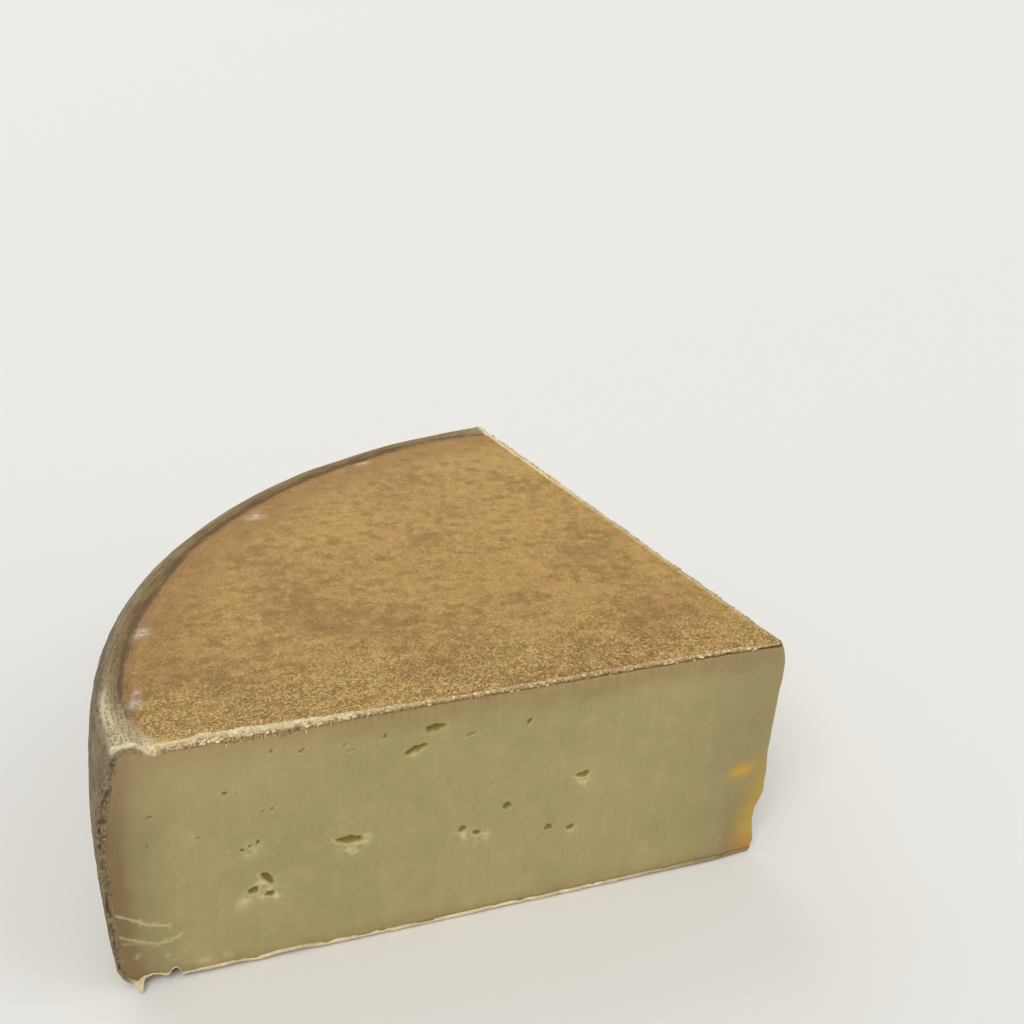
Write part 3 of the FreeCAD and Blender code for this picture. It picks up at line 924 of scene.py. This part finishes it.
def eyeShape(u, z, places, eyes):
    # depth into the face, how far inside an eye, how pale its torn lip is (partly a painted highlight, where
    # light from above catches the lower lip), and how dull it is
    depth, inside, lip, dot = (np.zeros(len(u)) for k in range(4))
    for number, (fromTip, level, long, wide, tilt, deep, paleness) in enumerate(eyes):
        du, dz = fromTip - u / mm, z / mm - level
        close = np.flatnonzero(np.hypot(du, dz) < long + 3)
        if not len(close):
            continue
        a, b = leaning(du[close], dz[close], tilt)
        seen = places[close]
        a = a / (long / 2) + 0.22 * softNoise(seen, 1.5 * mm, 101 + number)
        b = b / (wide / 2) + 0.3 * softNoise(seen, 1.3 * mm, 151 + number)
        b += 0.25 * a * a * (1 if number % 2 else -1)
        ring = np.sqrt(np.abs(a) ** 2.3 + np.abs(b) ** 2.1 * (1 + 0.5 * np.abs(a)))
        hole = ease(1.08 - ring, 0, 0.5)
        slope = 0.72 + 0.28 * np.clip(b, -1, 1)
        seenHole = hole * min(1, 0.12 + 1.1 * deep)    # shallow marks are fainter
        small = float(np.clip((4.4 - long) / 2.4, 0.1, 1))
        # the pale lip lies under the eye only: torn paste, partly a painted highlight
        below = ease(-b, -0.25, 0.6) * hump(ring, 1.25, 0.3)
        paleLipTornAndLit = below * (0.55 + 0.45 * softNoise(seen, 0.9 * mm, 201 + number))
        for whole, part in (
            (depth, deep * mm * hole * slope), (inside, seenHole), (dot, seenHole * small),
            (lip, paleness * np.clip(paleLipTornAndLit, 0, 1)),
        ):
            whole[close] = np.maximum(whole[close], part)
    return depth, inside, lip, dot


def makePaste():
    columns, rows, deepRows = paste["mesh"]
    atTip = np.linspace(0, 0.04, 6)    # finer steps on the rounded tip
    steps = (
        np.concatenate([atTip, np.linspace(atTip[-1], 1, columns)[1:]]),
        np.linspace(0, 1, rows),
        np.linspace(0, 1, deepRows),
    )
    work, flat = refinedBlock(steps, wrapPaste, pasteDetail, paste["passes"])
    places = wrapPaste(flat)
    out, up, share = flat.T
    u, z = alongFace(places, share)
    onFront, onBack = share == 0, share == 1
    # relief of the cuts, inwards: waves, marks of the knife, and eyes with their lips
    wave = np.stack([u / (70 * mm), z / (24 * mm), share * 5], -1)
    streak = np.stack([u / (1.1 * mm), z / (26 * mm), share * 5], -1)
    inward = paste["waviness"] * roughNoise(wave, 1.0, 3, 91) + paste["streaks"] * softNoise(streak, 1.0, 93)
    inward += 0.03 * mm * roughNoise(places, 3 * mm, 2, 95)
    fromSide = (1 - out) * wheel["radius"]
    fromRind = np.minimum(fromSide, np.minimum(wheelHeight - z, z + 3 * mm))
    inward += 0.3 * mm * hump(fromRind, 0.5 * mm, 1.6 * mm)
    depth, inside, lip, dot = (np.zeros(len(u)) for k in range(4))
    for chosen, eyes in ((onFront, paste["eyes"]), (onBack, backEyes())):
        shapes = eyeShape(u[chosen], z[chosen], places[chosen], eyes)
        for whole, part in zip((depth, inside, lip, dot), shapes):
            whole[chosen] = part
    inward += depth - paste["lipHeight"] * lip
    crack = np.zeros(len(u))
    for number, (strength, line) in enumerate(paste["cracks"]):
        away = nearLine(u, z, line) + 0.12 * mm * softNoise(places, 1.2 * mm, 97 + number)
        crack = np.maximum(crack, onFront * hump(away, 0, 0.3 * mm) * strength)
    inward -= paste["crackHeight"] * crack
    inward *= ease(u, tipLead, 9 * mm)
    places -= cutNormal(share) * (inward * (onFront | onBack))[:, None]
    places = wearDown(places)

    # masks for the finish
    spot = paste["glowSpot"]
    a, b = leaning(spot["fromTip"] - u / mm, z / mm - spot["level"], spot["tilt"])
    spotEdge = 2 * np.hypot(a / spot["length"], b / spot["width"]) + 0.25 * softNoise(places, 2.5 * mm, 99)
    scuffed = np.zeros(len(u))
    for fromTip, level, size, strength in paste["scuffs"]:
        away = np.hypot(u / mm - fromTip, z / mm - level) / size
        scuffed = np.maximum(scuffed, strength * onFront * np.exp(-2 * away ** 2))
    ragged = 0.35 + 1.5 * roughNoise(places, 1.2 * mm, 3, 103)
    lip = np.maximum(lip, np.clip(1.6 * scuffed * ragged, 0, 1) * (1 - inside))
    masks = dict(
        wrap=np.stack([u, z, share], -1), eye=inside, lip=lip, dot=dot, crack=crack,
        fromRind=fromRind / (10 * mm), fromSide=fromSide / (10 * mm), fromTip=u / (100 * mm),
        # thin: the thin spot's painted glow
        level=z / wheelHeight, thin=ease(1.5 - spotEdge, 0, 1.2) * onFront,
    )
    return finishMesh("paste", work, places, masks)


def makePasteFinish():
    material, bench, shader, place = newMaterial(
        "pasteCut", paste["colours"], paste["scatter"], Specular_IOR_Level=0.4, Subsurface_Weight=0.3,
    )
    mask, ramp, times, plus = bench.mask, bench.ramp, bench.times, bench.plus
    level, eye = mask("level"), mask("eye")
    patches, fine = bench.group(
        mottleGroup, Vector=place, Patch_Size=paste["patchSize"], Fine_Size=paste["fineSize"], Contrast=1.0,
    )
    across, along = paste["knifeMark"]
    streaks = bench.group(streakGroup, Vector=mask("wrap", "Vector"), Across=across, Along=along)["Streaks"]
    grain = bench.noise(place, 1100.0, 4.0, 0.7)
    # towards the rind it darkens: partly the paste drying out, partly painted shade beside and under the rind
    ragged = times(plus(fine, -0.5), 0.3)
    fromSide, fromRind = plus(mask("fromSide"), ragged), plus(mask("fromRind"), ragged)
    nearSide = plus(mask("fromSide"), times(ragged, 0.4))
    upper = times(ramp(level, 0.6, 0.95), ramp(fromSide, 9.0, 2.0))
    hairs = times(ramp(streaks, 0.35, 0.8), ramp(level, 0.93, 0.97))
    # the thin tip: a painted glow of light through it, brown at its edge, amber, orange at the foot and
    # brightest at the thin spot
    fromTip = plus(mask("fromTip"), times(ragged, 0.12))
    brown = times(ramp(fromTip, 0.17, 0.03), ramp(level, 0.5, 0.12))
    amber = times(ramp(fromTip, 0.1, 0.01), ramp(level, 0.6, 0.2))
    foot = times(ramp(fromTip, 0.12, 0.02), ramp(level, 0.14, 0.02))
    tone = bench.coats(
        "olive",
        ("body", ramp(patches, 0.15, 0.85)),
        ("tan", ramp(fine, 0.5, 0.95, 0.6)),
        ("dull", ramp(fine, 0.4, 0.05, 0.14)),
        ("lip", ramp(streaks, 0.6, 1.0, 0.04)),
        ("lip", ramp(grain, 0.52, 0.75, 0.14)),
        ("dull", ramp(grain, 0.45, 0.25, 0.18)),
        # darker by the side and top rind: partly the paste drying, partly painted shade
        ("dull", ramp(fromSide, 2.2, 0.3, 0.85)),
        ("nearRind", ramp(nearSide, 0.7, 0.16, 0.92)),
        ("nearTop", ramp(fromRind, 0.95, 0.05, 0.68)),
        ("tan", times(upper, 0.32)),
        ("hair", times(hairs, 0.5)),
        # darker towards the tip: painted shade
        ("dull", ramp(mask("fromTip"), 0.4, 0.05, 0.45)),
        # the tip's painted glow of light through the paste
        ("brown", times(brown, 0.7)),
        ("amber", times(amber, 0.9)),
        ("orange", times(foot, 0.6)),
        ("thin", times(mask("thin"), 0.85)),
        (bench.coats("eye", ("eyeDeep", ramp(eye, 0.45, 1.0))), ramp(eye, 0.08, 0.55)),
        ("dot", ramp(mask("dot"), 0.03, 0.6)),
        # pale lips, partly a painted highlight, and pale scuffs
        ("lip", times(mask("lip"), 0.6)),
        ("crack", times(mask("crack"), 0.75)),
    )
    height = plus(times(streaks, 0.3), times(grain, 0.9))
    normal = bench.bump(height, paste["bumpStrength"], paste["bumpDepth"])
    bench.fill(shader, Base_Color=tone, Roughness=plus(0.4, times(fine, 0.18)), Normal=normal)
    return material


# crumbs along the torn edge of the rind
crumbs = dict(
    frontCount=460, backCount=200, sizes=(0.2 * mm, 0.52 * mm),
    spread=(13, 176), crowd=(13, 62), crowdShare=0.7,    # where they lie, in from the radius, mm
    hang=1.5, hangMost=2.7, longest=(27, 50),            # how far they hang down, and where furthest, mm
    scatter=(2, 1.2, 0.6), patchSize=4.0, fineSize=1.0, bumpStrength=0.5, bumpDepth=0.2 * mm,
)


def lumpMesh(level):
    work = bmesh.new()
    bmesh.ops.create_icosphere(work, subdivisions=level, radius=1)
    work.verts.index_update()
    points = np.array([v.co[:] for v in work.verts])
    faces = np.array([[v.index for v in face.verts] for face in work.faces])
    work.free()
    return points, faces


def makeCrumbs():
    dice = random.Random(23)
    shapes = {level: lumpMesh(level) for level in (1, 2)}
    allPoints, allFaces, total = [], [], 0
    longFrom, longTo = crumbs["longest"]
    for share, count in ((0.0, crumbs["frontCount"]), (1.0, crumbs["backCount"])):
        normal = cutNormal(np.array([share]))[0]
        heading = math.atan2(normal[1], normal[0]) + math.pi / 2
        for number in range(count):
            crowded = dice.random() < crumbs["crowdShare"]
            fromRim = dice.uniform(*crumbs["crowd" if crowded else "spread"])
            x, y = planPlace(wheel["radius"] - fromRim * mm, share)
            size = dice.uniform(*crumbs["sizes"]) * (1 if crowded else 0.8)
            atLongest = longFrom < fromRim < longTo and share == 0
            hang = dice.random() ** 1.6 * crumbs["hangMost" if atLongest else "hang"] * mm
            out = dice.uniform(-0.2, 0.4) * mm
            place = np.array([x, y, wheelHeight + apex.z + 0.55 * mm - hang]) + normal * out
            if hang > 1.1 * mm:    # torn shreds hang down
                sizes = (size * 0.32, size * 0.3, size * dice.uniform(0.6, 1.1))
            else:
                sizes = (size * dice.uniform(0.9, 1.6), size * 0.8, size * dice.uniform(0.6, 0.9))
            spin = Quaternion((0, 0, 1), heading + dice.uniform(-0.3, 0.3))
            points, faces = shapes[2 if max(sizes) > 0.4 * mm else 1]
            bumpy = 1 + 0.35 * softNoise(points + dice.uniform(0, 50), 0.75, 5)
            turned = np.array(spin.to_matrix()) @ (points * bumpy[:, None] * sizes).T
            allPoints.append(turned.T + place)
            allFaces.append(faces + total)
            total += len(points)
    mesh = bpy.data.meshes.new("crumbs")
    mesh.from_pydata(np.concatenate(allPoints).tolist(), [], np.concatenate(allFaces).tolist())
    return addSmooth("crumbs", mesh)


def makeCrumbFinish():
    material, bench, shader, place = newMaterial(
        "creamCrumb", rind["colours"], crumbs["scatter"], Roughness=0.62, Subsurface_Weight=0.15,
    )
    patches, fine = bench.group(
        mottleGroup, Vector=place, Patch_Size=crumbs["patchSize"], Fine_Size=crumbs["fineSize"], Contrast=1.3,
    )
    tone = bench.coats("fringe", ("cream", patches), ("base", bench.ramp(fine, 0.6, 0.95, 0.5)))
    bench.fill(shader, Base_Color=tone, Normal=bench.bump(fine, crumbs["bumpStrength"], crumbs["bumpDepth"]))
    return material


# put together
rindPiece, pastePiece, crumbPiece = makeRind(), makePaste(), makeCrumbs()
for piece, material, slot in (
    (rindPiece, makeRindFinish(), "rind"),
    (pastePiece, makePasteFinish(), "paste"),
    (crumbPiece, makeCrumbFinish(), "rind"),
):
    piece.data.materials.append(material)
    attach(piece, "root")
for piece in (rindPiece, pastePiece):
    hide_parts("cheese_piece")
print("pieces and finishes made")


# studio
studio = dict(
    colours=dict(floor=(228, 226, 221), backdrop=(236, 235, 230)), floorSize=16.0, sky=0.5,
    # lamps: where each shines from, strength, how soft in degrees
    lamps=dict(
        key=((-0.42, -0.62, 0.72), 1.65, 34), fill=((0.8, -0.4, 0.45), 0.5, 60),
        rim=((-0.2, 0.8, 0.5), 0.8, 60),
    ),
)
camera = dict(
    place=(-0.1204, -0.3942, 0.2631), heading=21.42, lookDown=25.5, roll=1.82,
    lens=52.06, shift=(0.0508, 0.0469),
)


def makeFloor():
    half = studio["floorSize"] / 2
    mesh = bpy.data.meshes.new("floor")
    corners = [(x * half, y * half, 0) for x, y in ((-1, -1), (1, -1), (1, 1), (-1, 1))]
    mesh.from_pydata(corners, [], [(0, 1, 2, 3)])
    material = newMaterial(
        "paleFloor", studio["colours"], (0, 0, 0), Base_Color="floor", Roughness=0.85, Specular_IOR_Level=0.2,
    )[0]
    mesh.materials.append(material)
    floor = addToScene("floor", mesh)
    floor.location.z = nodeLow.z - 0.2 * mm


def turnTo(thing, aim, roll=0):    # a lamp or camera looks along -Z
    thing.rotation_mode = "QUATERNION"
    thing.rotation_quaternion = aim.to_track_quat("-Z", "Y") @ Quaternion((0, 0, 1), math.radians(roll))


def makeLight():
    for name, (source, strength, softness) in studio["lamps"].items():
        data = bpy.data.lights.new(name, "SUN")
        data.energy, data.angle = strength, math.radians(softness)
        lamp = addToScene(name, data)
        lamp.location = source
        turnTo(lamp, -Vector(source))
    # what the camera and reflections see past the floor is the backdrop; the rest is even light
    world = bpy.data.worlds.new("softRoom")
    world.use_nodes = True
    bench = NodeBench(world.node_tree, studio["colours"])
    rays = bench.node("ShaderNodeLightPath").outputs
    seen = bench.math("MAXIMUM", rays["Is Glossy Ray"], rays["Is Transmission Ray"])
    seen = bench.math("MAXIMUM", rays["Is Camera Ray"], seen)
    strength = bench.plus(studio["sky"], bench.times(seen, 1 - studio["sky"]))
    background = world.node_tree.nodes["Background"]
    bench.fill(background, Color=bench.mix(seen, (1, 1, 1, 1), "backdrop"), Strength=strength)
    bpy.context.scene.world = world


def makeCamera():
    data = bpy.data.cameras.new("camera")
    data.lens, data.sensor_width = camera["lens"], 36
    data.shift_x, data.shift_y = camera["shift"]
    data.clip_start = 0.01
    holder = addToScene("camera", data)
    holder.location = camera["place"]
    heading, down = math.radians(camera["heading"]), math.radians(camera["lookDown"])
    aim = Vector((math.sin(heading) * math.cos(down), math.cos(heading) * math.cos(down), -math.sin(down)))
    turnTo(holder, aim, camera["roll"])
    bpy.context.scene.camera = holder


makeFloor()
makeLight()
makeCamera()
bpy.context.scene.view_settings.view_transform = "Standard"
print("studio ready")
